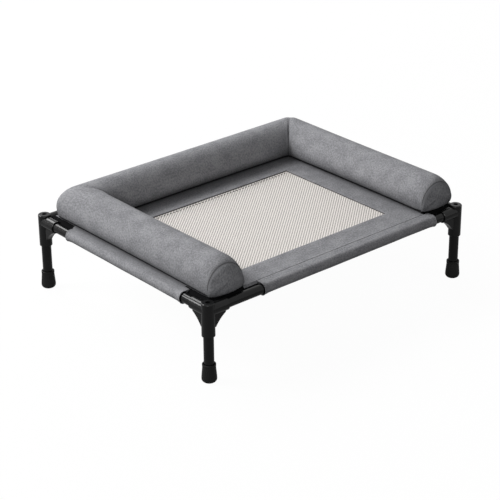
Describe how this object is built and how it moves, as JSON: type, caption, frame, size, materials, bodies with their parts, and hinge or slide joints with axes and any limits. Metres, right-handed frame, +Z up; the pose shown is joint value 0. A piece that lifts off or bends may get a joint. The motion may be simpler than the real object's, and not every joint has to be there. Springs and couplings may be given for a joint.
{
  "type": "raised dog cot",
  "caption": "Raised dog cot: black tube frame with moulded corner connectors and rubber feet, grey cloth sling with a beige mesh window, and a padded bolster round three sides.",
  "frame": {"origin": "on the floor under the middle of the frame", "axes": "+X to the right as seen from the open front, along the long rails; +Y from the open front to the back bolster; +Z up"},
  "size_m": [0.766, 0.614, 0.2573],
  "materials": {
    "connector_plastic": "satin black moulded nylon",
    "frame_steel": "satin black powder coat on steel tube",
    "foot_rubber": "matte black rubber",
    "bolt_steel": "black oxide steel",
    "insert_zinc": "zinc plated, hidden inside the leg",
    "grey_cloth": "mid grey brushed woven polyester",
    "cap_cloth": "darker grey brushed woven polyester",
    "beige_mesh": "beige open woven mesh",
    "white_fibre": "white polyester fibre filling, hidden inside the covers"
  },
  "bodies": {
    "root": {"corner_connector_front_left": "connector_plastic", "corner_connector_front_right": "connector_plastic", "corner_connector_back_right": "connector_plastic", "corner_connector_back_left": "connector_plastic", "rail_front": "frame_steel", "rail_right": "frame_steel", "rail_back": "frame_steel", "rail_left": "frame_steel", "leg_front_left": "frame_steel", "leg_front_right": "frame_steel", "leg_back_right": "frame_steel", "leg_back_left": "frame_steel", "foot_front_left": "foot_rubber", "foot_front_right": "foot_rubber", "foot_back_right": "foot_rubber", "foot_back_left": "foot_rubber", "leg_bolts": "bolt_steel", "leg_inserts": "insert_zinc", "sling_border": "grey_cloth", "mesh_panel": "beige_mesh", "sleeve_front": "grey_cloth", "sleeve_right": "grey_cloth", "sleeve_back": "grey_cloth", "sleeve_left": "grey_cloth", "bolster_cover_left": "grey_cloth", "bolster_cover_back": "grey_cloth", "bolster_cover_right": "grey_cloth", "bolster_cap_left": "cap_cloth", "bolster_cap_right": "cap_cloth", "bolster_fill_left": "white_fibre", "bolster_fill_back": "white_fibre", "bolster_fill_right": "white_fibre"}
  },
  "joints": []
}
